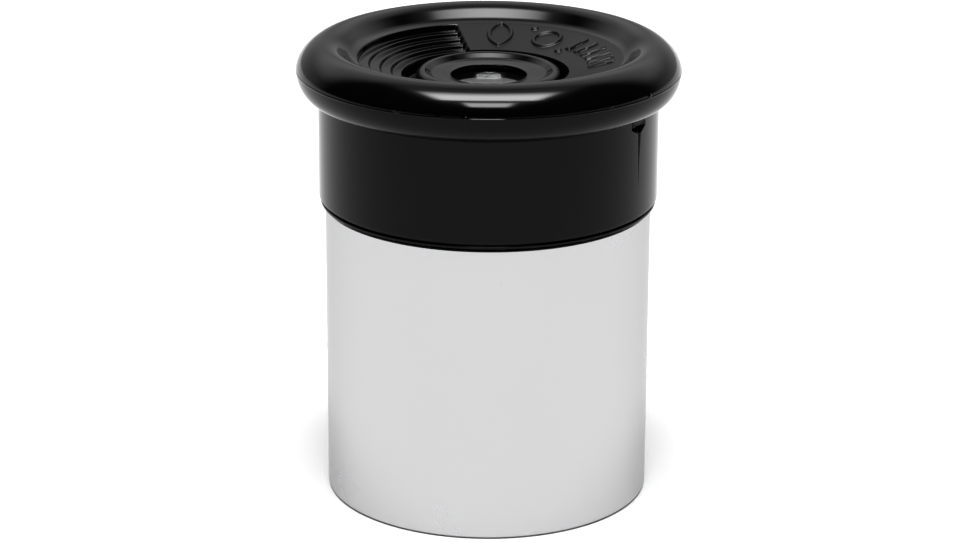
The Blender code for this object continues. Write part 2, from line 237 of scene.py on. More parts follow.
# Rings and spacers, whose heights come from the frame. The rings that hold the lenses are given as
# (radius, bore, width of the slot, depth of the slot).
STACK_RADIUS = 11.1 * MM
EYE_RING_SIZE = (4.9 * MM, 3.5 * MM, 0.9 * MM, 0.5 * MM)
FIELD_RING_SIZE = (STACK_RADIUS, 9.2 * MM, 1.4 * MM, 0.8 * MM)
RING_BEVEL = 0.1 * MM
RING_COLUMNS = 240
SLOT_WALL_HALF_TURN = 0.0005
SPACER_BORE = 10.0 * MM
BAFFLE_PITCH = 0.5 * MM
BAFFLE_DEPTH = 0.22 * MM
BAFFLE_FLANK_SHARE = 0.85
FIELD_STOP_APERTURE = 4.85 * MM
FIELD_STOP_BEVEL = 0.8 * MM
KNIFE_EDGE = 0.06 * MM

# Camera
CAMERA_PLACE = (0.0, -0.226684, 0.093762)
CAMERA_PITCH = math.radians(18.816)
CAMERA_YAW = math.radians(-0.0262)
CAMERA_ROLL = math.radians(0.3218)
CAMERA_LENS_MM = 115.845
CAMERA_SENSOR_MM = 36.0
CAMERA_CLIP = (0.01, 10.0)

# Light: a white sweep behind the object, two softboxes over it and the glow round them. A soft edge
# is (where it starts, where it is full). The sweep's edges and the horizon's are parts of a ray's
# direction: backwards for the front edge, and upwards for the others. A softbox is (two edges along,
# one edge across, radiance). Its edges are tangents from straight up: along, towards the camera, and
# across, to either side.
SWEEP_LOW_RADIANCE = 0.6
SWEEP_HIGH_RADIANCE = 1.7
SWEEP_RISE = (0.25, 0.55)
SWEEP_FRONT_EDGE = (0.3, 0.6)
SWEEP_TOP_EDGE = (0.95, 0.84)
FILL_RADIANCE = 0.02
HORIZON_EDGE = (0.02, 0.1)
LOWEST_UP = 0.01
SOFTBOXES = [
    ([(-0.21, 0.17), (0.41, 0.345)], (0.45, 0.34), 39.0),
    ([(0.47, 0.64), (1.03, 0.85)], (0.26, 0.2), 30.0),
    ([(-0.7, -0.2), (0.8, 0.4)], (0.6, 0.3), 1.5),
]
VIEW_GAMMA = 0.8

# Surfaces: base colours, and the tint of the metal where it is seen edge-on
PLASTIC_COLOR = (0.0006, 0.0006, 0.00065)
METAL_COLOR = (0.53, 0.53, 0.535)
METAL_EDGE_TINT = (0.75, 0.75, 0.75, 1.0)
GLASS_COLOR = (0.97, 0.985, 0.98)
BLACKENED_COLOR = (0.012, 0.012, 0.013)
MATT_COLOR = (0.01, 0.01, 0.011)
FLOOR_COLOR = (0.3, 0.3, 0.3)
FLOOR_HALF_SIDE = 2.0


def smoothstep(value):
    held = np.clip(value, 0.0, 1.0)
    return held * held * (3.0 - 2.0 * held)


def superellipse(turns, power):
    """Points of a rounded quarter from (0, 1) outwards, as (sideways, upwards) fractions."""
    across = np.sin(turns) ** (2.0 / power)
    up = np.maximum(np.cos(turns), 0.0) ** (2.0 / power)
    return list(zip(across, up))


def turn_from(angle, middle):
    """Signed angle from a middle azimuth, between minus half a turn and half a turn."""
    return np.mod(angle - middle + math.pi, TAU) - math.pi


def fine_angles():
    """Azimuths of the cap's columns, once round from the plaque's end."""
    gate = TAU + GATE_AZIMUTH
    stretches = [
        (PLAQUE_END, gate - GATE_SPAN, PLAIN_COLUMN_STEP),
        (gate - GATE_SPAN, gate - WELD_SPAN, GATE_COLUMN_STEP),
        (gate - WELD_SPAN, gate + WELD_SPAN, WELD_COLUMN_STEP),
        (gate + WELD_SPAN, gate + GATE_SPAN, GATE_COLUMN_STEP),
        (gate + GATE_SPAN, TAU + PLAQUE_END, PLAQUE_COLUMN_STEP),
    ]
    parts = []
    for start, stop, step in stretches:
        parts.append(np.linspace(start, stop, round((stop - start) / step), endpoint=False))
    return np.concatenate(parts)


def surface_piece(name, radii, heights, angles, closed=True):
    """A piece of rows by azimuths. The rows run down the outside. A closed piece's last row joins
    its first."""
    rows, columns = radii.shape
    places = np.empty((rows, columns, 3))
    places[..., 0] = radii * np.cos(angles)
    places[..., 1] = radii * np.sin(angles)
    places[..., 2] = heights
    index = np.arange(rows * columns).reshape(rows, columns)
    below = np.roll(index, -1, axis=0)
    beside = np.roll(index, -1, axis=1)
    across = np.roll(below, -1, axis=1)
    faces = np.stack([index, below, across, beside], axis=-1)
    if not closed:
        faces = faces[:-1]
    mesh = bpy.data.meshes.new(name)
    mesh.from_pydata(places.reshape(-1, 3).tolist(), [], faces.reshape(-1, 4).tolist())
    made = bpy.data.objects.new(name, mesh)
    bpy.context.scene.collection.objects.link(made)
    return made


def shade(piece, sharp_degrees):
    piece.data.polygons.foreach_set("use_smooth", np.ones(len(piece.data.polygons), bool))
    piece.data.set_sharp_from_angle(angle=math.radians(sharp_degrees))


def weld(piece):
    """Joins the points that fall together, such as those of a lens's middle."""
    shape = bmesh.new()
    shape.from_mesh(piece.data)
    bmesh.ops.remove_doubles(shape, verts=shape.verts, dist=JOIN_REACH)
    bmesh.ops.dissolve_degenerate(shape, edges=shape.edges, dist=0.5 * JOIN_REACH)
    shape.to_mesh(piece.data)
    shape.free()


def spread(rows, angles):
    """Rows of (radius, height) repeated for each azimuth, as two grids."""
    points = np.array(rows)
    return (np.repeat(points[:, column:column + 1], len(angles), axis=1) for column in (0, 1))


def turned(name, rows, segments=240, closed=True, sharp_degrees=35.0):
    """A plain piece of revolution."""
    angles = np.linspace(0.0, TAU, segments, endpoint=False)
    radii, heights = spread(rows, angles)
    piece = surface_piece(name, radii, heights, angles, closed)
    weld(piece)
    shade(piece, sharp_degrees)
    return piece


def rounded_corner(corner, before, after, radius, steps=4):
    """Points that round off a corner between two neighbouring points of a profile."""
    here, first, last = np.array(corner), np.array(before), np.array(after)
    start = here + (first - here) / np.linalg.norm(first - here) * radius
    stop = here + (last - here) / np.linalg.norm(last - here) * radius
    points = []
    for share in np.linspace(0.0, 1.0, steps + 1):
        point = (1 - share) ** 2 * start + 2 * share * (1 - share) * here + share ** 2 * stop
        points.append((float(point[0]), float(point[1])))
    return points


def rounded_chain(points, radius, steps=3):
    """An open profile with its inner corners rounded. Its two end points only give directions."""
    made = []
    for place in range(1, len(points) - 1):
        made += rounded_corner(points[place], points[place - 1], points[place + 1], radius, steps)
    return made


def thread_share(height, angle, start, turns, clearance=0.0):
    """Share of the thread's depth, from 0 between its ridges to 1 on a crest."""
    azimuth = np.mod(angle, TAU)
    phase = (height - start) / THREAD_PITCH - azimuth / TAU
    turn = np.clip(np.round(phase), 0, turns - 1)
    away = np.abs(phase - turn) * THREAD_PITCH
    half_base = 0.5 * THREAD_CREST_WIDTH + clearance + THREAD_FLANK_WIDTH
    share = np.clip((half_base - away) / THREAD_FLANK_WIDTH, 0.0, 1.0)
    swept = turn * TAU + azimuth
    ends = smoothstep(swept / THREAD_RUN_OUT) * smoothstep((turns * TAU - swept) / THREAD_RUN_OUT)
    return share * ends


def cap_outside_rows():
    """The rim's outer half, the flange's underside, the skirt and the lip."""
    turns = np.concatenate([np.linspace(*RIM_OUTER_ROWS), np.linspace(*RIM_EDGE_ROWS)])
    edge_radius = RIM_CREST_RADIUS + RIM_OUTER_WIDTH - FLASH_HEIGHT
    rows = []
    for across, up in superellipse(turns, RIM_OUTER_POWER):
        radius = RIM_CREST_RADIUS + (edge_radius - RIM_CREST_RADIUS) * across
        rows.append((radius, RIM_TOP_Z - RIM_OUTER_DROP * (1.0 - up)))
    for across, up in superellipse(QUARTER - turns[::-1], UNDERSIDE_POWER)[1:]:
        rows.append((edge_radius - UNDERSIDE_WIDTH * (1.0 - up), PARTING_Z - UNDERSIDE_DROP * across))
    flange_end = (rows[-1][0], FLANGE_Z)
    below_flange = (SKIRT_RADIUS, FLANGE_Z - MM)
    rows += rounded_corner((SKIRT_RADIUS, FLANGE_Z), flange_end, below_flange, FLANGE_ROOT_ROUND)
    for height in np.arange(CLOSE_ROWS_TOP_Z, CLOSE_ROWS_BOTTOM_Z, -CLOSE_ROW_STEP):
        rows.append((SKIRT_RADIUS, height))
    for height in np.linspace(WIDE_ROWS_TOP_Z, WIDE_ROWS_BOTTOM_Z, WIDE_ROW_COUNT):
        rows.append((SKIRT_RADIUS, height))
    return rows + lip_rows()


def lip_rows():
    """The groove under the skirt and the lip, whose corners are at shares of their joint height."""
    lip = SKIRT_BOTTOM_Z - LIP_BOTTOM_Z
    return rounded_chain([
        (SKIRT_RADIUS, SKIRT_BOTTOM_Z + MM),
        (SKIRT_RADIUS, SKIRT_BOTTOM_Z),
        (LIP_GROOVE_RADIUS, SKIRT_BOTTOM_Z - 0.1 * lip),
        (LIP_GROOVE_RADIUS, SKIRT_BOTTOM_Z - 0.45 * lip),
        (LIP_RADIUS, SKIRT_BOTTOM_Z - 0.55 * lip),
        (LIP_RADIUS, LIP_BOTTOM_Z + 0.1 * lip),
        (LIP_GROOVE_RADIUS, LIP_BOTTOM_Z),
        (SPIGOT_RADIUS, LIP_BOTTOM_Z),
    ], LIP_ROUND)


def spigot_rows():
    """The outside of the spigot, in rows close enough for the thread."""
    rows = [(SPIGOT_RADIUS, LIP_BOTTOM_Z)]
    lowest = SPIGOT_BOTTOM_Z + SPIGOT_CHAMFER
    for height in np.arange(LIP_BOTTOM_Z - THREAD_ROW_STEP, lowest, -THREAD_ROW_STEP):
        rows.append((SPIGOT_RADIUS, height))
    return rows


def cell_rows():
    """The inside of the spigot, the roof and the cell that holds the eye lens."""
    half_way = (SPIGOT_BORE, 0.5 * (SPIGOT_BOTTOM_Z + ROOF_Z))
    rows = [
        (SPIGOT_RADIUS - SPIGOT_CHAMFER, SPIGOT_BOTTOM_Z),
        (SPIGOT_BORE, SPIGOT_BOTTOM_Z),
        half_way,
    ]
    rows += rounded_corner((SPIGOT_BORE, ROOF_Z), half_way, (CELL_RADIUS, ROOF_Z), ROOF_ROUND)
    cell_foot = (CELL_RADIUS, CELL_BOTTOM_Z)
    rows += rounded_corner((CELL_RADIUS, ROOF_Z), (SPIGOT_BORE, ROOF_Z), cell_foot, CELL_ROOT_ROUND)
    rows += [
        cell_foot,
        (CELL_COUNTERBORE, CELL_BOTTOM_Z),
        (CELL_COUNTERBORE, CELL_STEP_Z),
        (CELL_POCKET, CELL_STEP_Z),
        (CELL_POCKET, CELL_SEAT_Z),
        (EYE_HOLE_RADIUS, CELL_SEAT_Z),
    ]
    return rows


def collar_rows():
    """From the eye hole over the dish and the collar's crest to the deep groove."""
    crest = []
    for turn in np.linspace(-COLLAR_WALL_SLOPE, QUARTER, COLLAR_ROWS):
        rounding = COLLAR_INNER_ROUND if turn < 0.0 else COLLAR_OUTER_ROUND
        radius = COLLAR_CREST_RADIUS + rounding * math.sin(turn)
        crest.append((radius, COLLAR_CREST_Z - rounding * (1.0 - math.cos(turn))))
    wall_top = crest[0]
    hole_edge = (EYE_HOLE_RADIUS, EYE_HOLE_Z)
    dish_edge = (wall_top[0] - (wall_top[1] - DISH_Z) / math.tan(COLLAR_WALL_SLOPE), DISH_Z)
    rows = rounded_corner(hole_edge, (EYE_HOLE_RADIUS, CELL_SEAT_Z), dish_edge, EYE_HOLE_ROUND)
    rows.append((0.5 * (EYE_HOLE_RADIUS + dish_edge[0]), 0.5 * (EYE_HOLE_Z + DISH_Z)))
    rows += rounded_corner(dish_edge, hole_edge, wall_top, DISH_EDGE_ROUND)
    return rows + crest


def rim_inner_rows():
    """The rim's inner half, from the top of the bowl's wall to just inside the crest."""
    rows = []
    for turn in np.linspace(RIM_INNER_SWEEP, 0.0, RIM_INNER_ROWS, endpoint=False):
        radius = RIM_CREST_RADIUS - RIM_INNER_ROUND * math.sin(turn)
        rows.append((radius, RIM_TOP_Z - RIM_INNER_ROUND * (1.0 - math.cos(turn))))
    return rows


def stepped_height(radius):
    """Height of the bowl outside the plaque, from the deep groove to the top of the wall."""
    corners = [
        (DEEP_GROOVE_INNER_RADIUS, DEEP_GROOVE_Z),
        (DEEP_GROOVE_OUTER_RADIUS, DEEP_GROOVE_Z),
    ]
    for step in reversed(range(STEP_COUNT)):
        at = FIRST_STEP_RADIUS - step * STEP_PITCH
        height = FIRST_STEP_Z - step * STEP_DROP
        corners += [(at, height), (at + STEP_TREAD, height)]
    ledge_inner = (BOWL_LEDGE_INNER_RADIUS, BOWL_LEDGE_INNER_Z)
    ledge_outer = (BOWL_LEDGE_OUTER_RADIUS, BOWL_LEDGE_OUTER_Z)
    wall_top = rim_inner_rows()[0]
    corners.append(ledge_inner)
    corners += rounded_corner(ledge_outer, ledge_inner, wall_top, WALL_FOOT_ROUND, steps=8)
    corners.append(wall_top)
    radii, heights = zip(*corners)
    blur = np.linspace(-BOWL_EDGE_BLUR, BOWL_EDGE_BLUR, BOWL_BLUR_SAMPLES)
    return sum(np.interp(radius + shift, radii, heights) for shift in blur) / len(blur)


def plaque_mask(radius, angle):
    """1 on the plaque and 0 beside it. The steps run out into its two ends."""
    middle = 0.5 * (PLAQUE_START + PLAQUE_END)
    half = 0.5 * (PLAQUE_END - PLAQUE_START)
    sideways = (half - np.abs(turn_from(angle, middle))) * radius
    inside = np.minimum(radius - PLAQUE_INNER_RADIUS, PLAQUE_OUTER_RADIUS - radius)
    return smoothstep(inside / PLAQUE_EDGE + 0.5) * smoothstep(sideways / PLAQUE_END_BLEND + 0.5)


def offsets_from(radius, angle, place):
    """Distances outwards and sideways from a place on the plaque, given as (radius, azimuth)."""
    turn = turn_from(angle, place[1])
    return radius * np.cos(turn) - place[0], radius * np.sin(turn)


def relief_share(radius, angle):
    """Share of the relief's height: the generic marks on the plaque."""
    inside = np.full(radius.shape, -MM)
    for bar in range(BAR_COUNT):
        place = (BAR_MIDDLE_RADIUS, BAR_START + bar * BAR_STEP)
        along, across = offsets_from(radius, angle, place)
        mark = np.minimum(BAR_HALF_LENGTH - np.abs(along), BAR_HALF_WIDTH - np.abs(across))
        inside = np.maximum(inside, mark)
    for place in DOTS:
        inside = np.maximum(inside, DOT_RADIUS - np.hypot(*offsets_from(radius, angle, place)))
    from_ring = np.hypot(*offsets_from(radius, angle, RING_PLACE)) - RING_RADIUS
    inside = np.maximum(inside, OUTLINE_HALF_WIDTH - np.abs(from_ring))
    along, across = offsets_from(radius, angle, LENS_MARK_PLACE)
    from_lens = np.hypot(np.abs(across) + LENS_MARK_OFFSET, along) - LENS_MARK_CURVE
    inside = np.maximum(inside, OUTLINE_HALF_WIDTH - np.abs(from_lens))
    return smoothstep(inside / RELIEF_EDGE + 0.5)


def plaque_height(radius, angle):
    """Height of the plaque's sloping face with its relief."""
    slope = (PLAQUE_OUTER_Z - PLAQUE_INNER_Z) / (PLAQUE_OUTER_RADIUS - PLAQUE_INNER_RADIUS)
    plain = PLAQUE_INNER_Z + slope * (radius - PLAQUE_INNER_RADIUS)
    return plain + RELIEF_HEIGHT * relief_share(radius, angle)


def flash_bead(height, angle):
    """The bead of flash on the parting line, uneven round the rim, with its blobs."""
    uneven = FLASH_MEAN_SHARE
    for count, phase, share in FLASH_WAVES:
        uneven = uneven + share * np.sin(count * angle + phase)
    bead = FLASH_HEIGHT * uneven * np.exp(-((height - PARTING_Z) / FLASH_HALF_WIDTH) ** 2)
    radius = RIM_CREST_RADIUS + RIM_OUTER_WIDTH
    for azimuth, rise, reach in FLASH_BLOBS:
        distance = np.hypot(turn_from(angle, azimuth) * radius, height - PARTING_Z - rise)
        share = smoothstep((BLOB_END - distance / reach) / (BLOB_END - BLOB_FULL))
        bead = np.maximum(bead, FLASH_HEIGHT * share)
    return bead


def gate_scar(height, angle):
    """Depth of the chipped hollow where the moulding was cut from its gate."""
    aside = turn_from(angle, GATE_AZIMUTH) * SKIRT_RADIUS / GATE_ASPECT
    upwards = height - GATE_HEIGHT
    ripple = GATE_FLOOR_RIPPLE * np.sin(aside / GATE_RIPPLE_WIDTH) * np.sin(upwards / GATE_RIPPLE_RISE)
    depth = GATE_DEPTH * (GATE_FLOOR_MEAN + ripple)
    for direction, reach, steepness in GATE_FACETS:
        out = aside * math.cos(direction) + upwards * math.sin(direction)
        depth = np.minimum(depth, steepness * (reach - out))
    return np.maximum(depth, 0.0)


def weld_line(height, angle):
    """A fine groove that runs down the skirt from the gate scar, narrows and fades out."""
    aside = np.abs(turn_from(angle, GATE_AZIMUTH) * SKIRT_RADIUS)
    fade = smoothstep((height - GATE_HEIGHT) / WELD_LENGTH + 1.0) * (height < GATE_HEIGHT)
    half_width = WELD_FOOT_HALF_WIDTH + (WELD_HEAD_HALF_WIDTH - WELD_FOOT_HALF_WIDTH) * fade ** 3
    return WELD_DEPTH * fade ** 2 * np.clip(1.0 - aside / half_width, 0.0, 1.0)


def outside_grids(angles):
    """The cap's outside with its flash, gate scar and weld line."""
    radii, heights = spread(cap_outside_rows(), angles)
    on_edge = np.abs(heights - PARTING_Z) < FLASH_BAND
    on_skirt = (np.abs(radii - SKIRT_RADIUS) < HAIR) & (heights < FLANGE_Z)
    marks = np.maximum(gate_scar(heights, angles), weld_line(heights, angles))
    return radii + on_edge * flash_bead(heights, angles) - on_skirt * marks, heights


def spigot_grids(angles):
    """The spigot with its thread."""
    radii, heights = spread(spigot_rows(), angles)
    share = thread_share(heights, angles, CAP_THREAD_START_Z, CAP_THREAD_TURNS)
    below_lip = heights < LIP_BOTTOM_Z - HAIR
    return radii + below_lip * THREAD_DEPTH * share, heights


def bowl_grids(angles):
    """The bowl with its steps and its plaque, and where the plaque is."""
    stop = rim_inner_rows()[0][0] - 0.5 * BOWL_ROW_STEP
    rows = [(radius, 0.0) for radius in np.arange(DEEP_GROOVE_INNER_RADIUS, stop, BOWL_ROW_STEP)]
    radii, _ = spread(rows, angles)
    mask = plaque_mask(radii, angles)
    steps = stepped_height(radii)
    plaque = np.maximum(plaque_height(radii, angles), steps)
    return radii, steps * (1.0 - mask) + plaque * mask, mask


def make_cap():
    """One closed moulding. Its point attribute marks the plaque for the material."""
    angles = fine_angles()
    bowl_radii, bowl_heights, mask = bowl_grids(angles)
    grids = [
        outside_grids(angles),
        spigot_grids(angles),
        spread(cell_rows(), angles),
        spread(collar_rows(), angles),
        (bowl_radii, bowl_heights),
        spread(rim_inner_rows(), angles),
    ]
    radii, heights = (np.concatenate(parts) for parts in zip(*grids))
    cap = surface_piece("eye_cap_moulding", radii, heights, angles)
    marks = np.zeros(radii.shape)
    last = len(marks) - len(rim_inner_rows())
    marks[last - len(mask):last] = mask
    attribute = cap.data.attributes.new(PLAQUE_MARK, "FLOAT", "POINT")
    attribute.data.foreach_set("value", marks.ravel().astype(np.float32))
    shade(cap, sharp_degrees=50.0)
    return cap


def barrel_rows():
    """The tube's outside, its rounded foot, its mouth, the ledge and the bore for the thread."""
    rows = [
        (BARREL_RADIUS - BARREL_TOP_CHAMFER, BARREL_TOP_Z),
        (BARREL_RADIUS, BARREL_TOP_Z - BARREL_TOP_CHAMFER),
    ]
    for height in np.linspace(BARREL_FIRST_ROW_Z, BARREL_FOOT_ROUND, BARREL_ROWS):
        rows.append((BARREL_RADIUS, height))
    for turn in np.linspace(QUARTER, 0.0, BARREL_FOOT_ROWS)[1:]:
        radius = BARREL_RADIUS - BARREL_FOOT_ROUND * (1.0 - math.sin(turn))
        rows.append((radius, BARREL_FOOT_ROUND * (1.0 - math.cos(turn))))
    rows += [
        (BARREL_BORE + BARREL_MOUTH_CHAMFER, 0.0),
        (BARREL_BORE, BARREL_MOUTH_CHAMFER),
        (BARREL_BORE, LEDGE_BOTTOM_Z),
        (LEDGE_BORE, LEDGE_BOTTOM_Z),
        (LEDGE_BORE, LEDGE_TOP_Z),
        (BARREL_BORE, LEDGE_TOP_Z),
        (BARREL_BORE, PLAIN_BORE_TOP_Z),
    ]
    for height in np.arange(THREADED_BORE_BOTTOM_Z, BARREL_TOP_Z, THREAD_ROW_STEP):
        rows.append((BARREL_BORE, height))
    rows.append((BARREL_BORE, BARREL_TOP_Z))
    return rows


def make_barrel():
    """The tube with the thread's groove in its bore."""
    angles = np.linspace(0.0, TAU, BARREL_COLUMNS, endpoint=False)
    radii, heights = spread(barrel_rows(), angles)
    threaded = (np.abs(radii - BARREL_BORE) < HAIR) & (heights > LEDGE_TOP_Z + MM)
    start = CAP_THREAD_START_Z - THREAD_PITCH
    share = thread_share(heights, angles, start, BARREL_THREAD_TURNS, THREAD_FLANK_CLEARANCE)
    barrel = surface_piece("barrel_tube", radii + threaded * THREAD_DEPTH * share, heights, angles)
    shade(barrel, sharp_degrees=30.0)
    return barrel


def lens_rows(radius, curve, top):
    """A plano-convex lens with its flat side up, from the middle of its top to its vertex."""
    vertex = top - LENS_EDGE - (curve - math.sqrt(curve * curve - radius * radius))
    rows = [(0.0, top), (0.5 * radius, top), (radius - LENS_BEVEL, top), (radius, top - LENS_BEVEL)]
    for share in np.linspace(1.0, 0.0, LENS_ROWS):
        at = radius * share
        rows.append((at, vertex + curve - math.sqrt(curve * curve - at * at)))
    return rows


def ring_rows(outer, bore, bottom, top, bevel):
    """A ring's section with all four edges eased."""
    corners = [(outer, top), (outer, bottom), (bore, bottom), (bore, top)]
    return rounded_chain([corners[-1]] + corners + [corners[0]], bevel)


def slotted_ring(name, node, outer, bore, slot_width, slot_depth):
    """A retaining ring with a spanner slot across its lower face, as high as its CAD node."""
    bottom, top = heights_of(node)
    half = math.asin(0.5 * slot_width / (0.5 * (outer + bore)))
    turns = [np.linspace(0.0, TAU, RING_COLUMNS, endpoint=False)]
    for middle in (0.0, math.pi):
        for edge in (-half, half):
            wall = [middle + edge - SLOT_WALL_HALF_TURN, middle + edge + SLOT_WALL_HALF_TURN]
            turns.append(np.array(wall) % TAU)
    angles = np.unique(np.concatenate(turns))
    radii, heights = spread(ring_rows(outer, bore, bottom, top, RING_BEVEL), angles)
    in_slot = np.abs(np.mod(angles + QUARTER, math.pi) - QUARTER) < half
    heights = np.where(in_slot, np.maximum(heights, bottom + slot_depth), heights)
    piece = surface_piece(name, radii, heights, angles)
    weld(piece)
    shade(piece, sharp_degrees=35.0)
    return piece


def spacer_rows(bottom, top):
    """A spacer whose bore is cut with fine saw-tooth grooves against stray light."""
    rows = [(STACK_RADIUS, top), (STACK_RADIUS, bottom), (SPACER_BORE, bottom)]
    count = int((top - bottom) / BAFFLE_PITCH)
    pitch = (top - bottom) / count
    for groove in range(count):
        start = bottom + groove * pitch
        rows.append((SPACER_BORE + BAFFLE_DEPTH, start + BAFFLE_FLANK_SHARE * pitch))
        rows.append((SPACER_BORE, start + pitch))
    return rows


def field_stop_rows(bottom, top):
    """A thin disc whose aperture is bevelled underneath to a knife edge."""
    return [
        (STACK_RADIUS, top),
        (STACK_RADIUS, bottom),
        (FIELD_STOP_APERTURE + FIELD_STOP_BEVEL, bottom),
        (FIELD_STOP_APERTURE, top - KNIFE_EDGE),
        (FIELD_STOP_APERTURE, top),
    ]


def heights_of(node):
    """The lowest and the highest z of a CAD node at rest."""
    low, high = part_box(node)
    return low[2], high[2]


def shader_of(made):
    return made.node_tree.nodes["Principled BSDF"]


def principled(name, color, roughness, **settings):
    """A material of one shader. Its plain roughness stands in where a varied one can't be used."""
    made = bpy.data.materials.new(name)
    made.use_nodes = True
    shader = shader_of(made)
    shader.inputs["Base Color"].default_value = (*color, 1.0)
    shader.inputs["Roughness"].default_value = roughness
    for key, value in settings.items():
        shader.inputs[key].default_value = value
    return made


def link(made, source, source_socket, target, target_socket):
    made.node_tree.links.new(source.outputs[source_socket], target.inputs[target_socket])


def add_noise(made, scale, detail, stretch=(1.0, 1.0, 1.0)):
    """Noise in the object's own metres. Scale is in features a metre."""
    nodes = made.node_tree.nodes
    place = nodes.new("ShaderNodeTexCoord")
    mapping = nodes.new("ShaderNodeMapping")
    mapping.inputs["Scale"].default_value = stretch
    noise = nodes.new("ShaderNodeTexNoise")
    noise.inputs["Scale"].default_value = scale
    noise.inputs["Detail"].default_value = detail
    link(made, place, "Object", mapping, "Vector")
    link(made, mapping, "Vector", noise, "Vector")
    return noise


def add_bump(made, heights, strength, distance, before=None):
    """A bump that goes to the shader's normal, on top of the one given before."""
    bump = made.node_tree.nodes.new("ShaderNodeBump")
    bump.inputs["Strength"].default_value = strength
    bump.inputs["Distance"].default_value = distance
    link(made, heights, "Fac", bump, "Height")
    if before is not None:
        link(made, before, "Normal", bump, "Normal")
    link(made, bump, "Normal", shader_of(made), "Normal")
    return bump


def add_range(made, source, low, high):
    """Maps a factor of 0 to 1 onto a range."""
    scaled = made.node_tree.nodes.new("ShaderNodeMapRange")
    scaled.inputs["To Min"].default_value = low
    scaled.inputs["To Max"].default_value = high
    link(made, source, "Fac", scaled, "Value")
    return scaled


def vary_roughness(made, noise, low, high):
    link(made, add_range(made, noise, low, high), "Result", shader_of(made), "Roughness")


def black_plastic():
    """Glossy moulding with slight sinks, a satin plaque and a very fine grain."""
    settings = {"Specular IOR Level": 0.17}
    made = principled("moulded_black_plastic", PLASTIC_COLOR, 0.1, **settings)
    hollows = add_noise(made, scale=260.0, detail=2.0)
    sinks = add_bump(made, hollows, strength=0.25, distance=0.02 * MM)
    grain = add_noise(made, scale=5200.0, detail=3.0)
    add_bump(made, grain, strength=0.06, distance=0.01 * MM, before=sinks)
    mark = made.node_tree.nodes.new("ShaderNodeAttribute")
    mark.attribute_name = PLAQUE_MARK
    glossy = add_range(made, add_noise(made, scale=700.0, detail=4.0), low=0.07, high=0.15)
    satin = add_range(made, mark, low=0.0, high=0.3)
    total = made.node_tree.nodes.new("ShaderNodeMath")
    total.operation = "ADD"
    made.node_tree.links.new(glossy.outputs["Result"], total.inputs[0])
    made.node_tree.links.new(satin.outputs["Result"], total.inputs[1])
    link(made, total, "Value", shader_of(made), "Roughness")
    return made


def satin_metal():
    """Turned aluminium: fine tool marks round the tube and a faintly uneven polish."""
    settings = {"Metallic": 1.0, "Specular Tint": METAL_EDGE_TINT}
    made = principled("satin_metal", METAL_COLOR, 0.28, **settings)
    marks = add_noise(made, scale=1.0, detail=1.0, stretch=(0.0, 0.0, 5000.0))
    add_bump(made, marks, strength=0.1, distance=0.004 * MM)
    vary_roughness(made, add_noise(made, scale=130.0, detail=2.0), low=0.26, high=0.3)
    return made


def glass():
    """Polished crown glass with a trace of haze."""
    settings = {"Transmission Weight": 1.0, "IOR": 1.54}
    made = principled("crown_glass", GLASS_COLOR, 0.01, **settings)
    vary_roughness(made, add_noise(made, scale=400.0, detail=3.0), low=0.0, high=0.03)
    return made


def blackened_metal():
    """Dull black on turned metal."""
    made = principled("blackened_metal", BLACKENED_COLOR, 0.45, Metallic=0.5)
    marks = add_noise(made, scale=1.0, detail=3.0, stretch=(90.0, 90.0, 7000.0))
    add_bump(made, marks, strength=0.15, distance=0.01 * MM)
    vary_roughness(made, add_noise(made, scale=900.0, detail=3.0), low=0.38, high=0.55)
    return made


def matt_black():
    """Flocked-looking black against stray light."""
    made = principled("matt_black", MATT_COLOR, 0.8)
    add_bump(made, add_noise(made, scale=6000.0, detail=2.0), strength=0.4, distance=0.02 * MM)
    vary_roughness(made, add_noise(made, scale=1500.0, detail=2.0), low=0.7, high=0.95)
    return made


def make_floor():
    half = FLOOR_HALF_SIDE
    corners = [(-half, -half, 0.0), (half, -half, 0.0), (half, half, 0.0), (-half, half, 0.0)]
    mesh = bpy.data.meshes.new("floor")
    mesh.from_pydata(corners, [], [(0, 1, 2, 3)])
    floor = bpy.data.objects.new("floor", mesh)
    bpy.context.scene.collection.objects.link(floor)
    mesh.materials.append(principled("pale_floor", FLOOR_COLOR, roughness=0.9))


def make_camera():
    data = bpy.data.cameras.new("camera")
    data.lens = CAMERA_LENS_MM
    data.sensor_width = CAMERA_SENSOR_MM
    data.clip_start, data.clip_end = CAMERA_CLIP
    camera = bpy.data.objects.new("camera", data)
    bpy.context.scene.collection.objects.link(camera)
    aim = Matrix.Rotation(CAMERA_YAW, 3, "Z") @ Matrix.Rotation(QUARTER - CAMERA_PITCH, 3, "X")
    camera.rotation_euler = (aim @ Matrix.Rotation(CAMERA_ROLL, 3, "Z")).to_euler()
    camera.location = CAMERA_PLACE
    bpy.context.scene.camera = camera


class DirectionMaths:
    """Adds maths nodes for the world's light, which depends on the direction of a ray."""

    def __init__(self, tree):
        self.tree = tree

    def calculate(self, operation, first, second=0.0):
        """One operation on two values, each a number or the output of a node."""
        node = self.tree.nodes.new("ShaderNodeMath")
        node.operation = operation
        for socket, value in zip(node.inputs, (first, second)):
            if isinstance(value, float):
                socket.default_value = value
            else:
                self.tree.links.new(value, socket)
        return node.outputs["Value"]

    def step(self, value, edge):
        """0 at the first number of the edge and 1 at the second, smooth between them."""
        node = self.tree.nodes.new("ShaderNodeMapRange")
        node.interpolation_type = "SMOOTHSTEP"
        node.inputs["From Min"].default_value = edge[0]
        node.inputs["From Max"].default_value = edge[1]
        self.tree.links.new(value, node.inputs["Value"])
        return node.outputs["Result"]

    def product(self, factors):
        total = factors[0]
        for factor in factors[1:]:
            total = self.calculate("MULTIPLY", total, factor)
        return total


